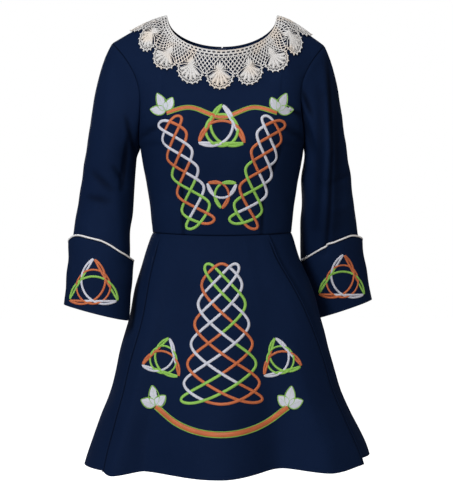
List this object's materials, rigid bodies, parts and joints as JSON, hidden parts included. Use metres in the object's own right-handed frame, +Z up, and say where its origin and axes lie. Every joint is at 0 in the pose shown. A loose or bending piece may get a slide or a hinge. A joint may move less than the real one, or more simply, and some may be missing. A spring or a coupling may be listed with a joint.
{
  "type": "irish dance dress",
  "caption": "Navy dance dress in its worn shape: fitted bodice, long sleeves with deep cuffs, flared skirt with side pleats, scalloped lace collar and back zip.",
  "frame": {"origin": "midway between the two side-neck points, where the dress hangs on the shoulders", "axes": "+Z up along the body, -Y towards the front, +X towards the wearer's left"},
  "size_m": [0.5883, 0.3962, 0.8522],
  "materials": {
    "navy_cloth": "matte dark navy cloth with a short soft nap and a stiff backing",
    "white_lace": "white crocheted cotton lace with scalloped motifs",
    "white_piping": "white satin piping with a soft sheen",
    "orange_thread": "orange satin-stitch embroidery thread",
    "lime_thread": "lime green satin-stitch embroidery thread",
    "pale_thread": "bluish white satin-stitch embroidery thread",
    "zip_tape": "dark navy woven zip tape",
    "zip_metal": "dull grey cast metal"
  },
  "bodies": {
    "dress": {"bodice_front": "navy_cloth", "bodice_back_left": "navy_cloth", "bodice_back_right": "navy_cloth", "sleeve_left": "navy_cloth", "sleeve_right": "navy_cloth", "cuff_left": "navy_cloth", "cuff_right": "navy_cloth", "cuff_piping_left": "white_piping", "cuff_piping_right": "white_piping", "skirt_front": "navy_cloth", "skirt_side_left": "navy_cloth", "skirt_side_right": "navy_cloth", "skirt_back_left": "navy_cloth", "skirt_back_right": "navy_cloth", "lace_collar": "white_lace", "zip_tape": "zip_tape", "zip_slider": "zip_metal"},
    "zip_pull": {"zip_pull": "zip_metal"}
  },
  "joints": [
    {"name": "zip_pull_hinge", "type": "hinge", "parent": "dress", "child": "zip_pull", "pos_m": [0, 0.0743, -0.05967], "axis": [1, 0, 0], "range_deg": [0, 160]}
  ]
}
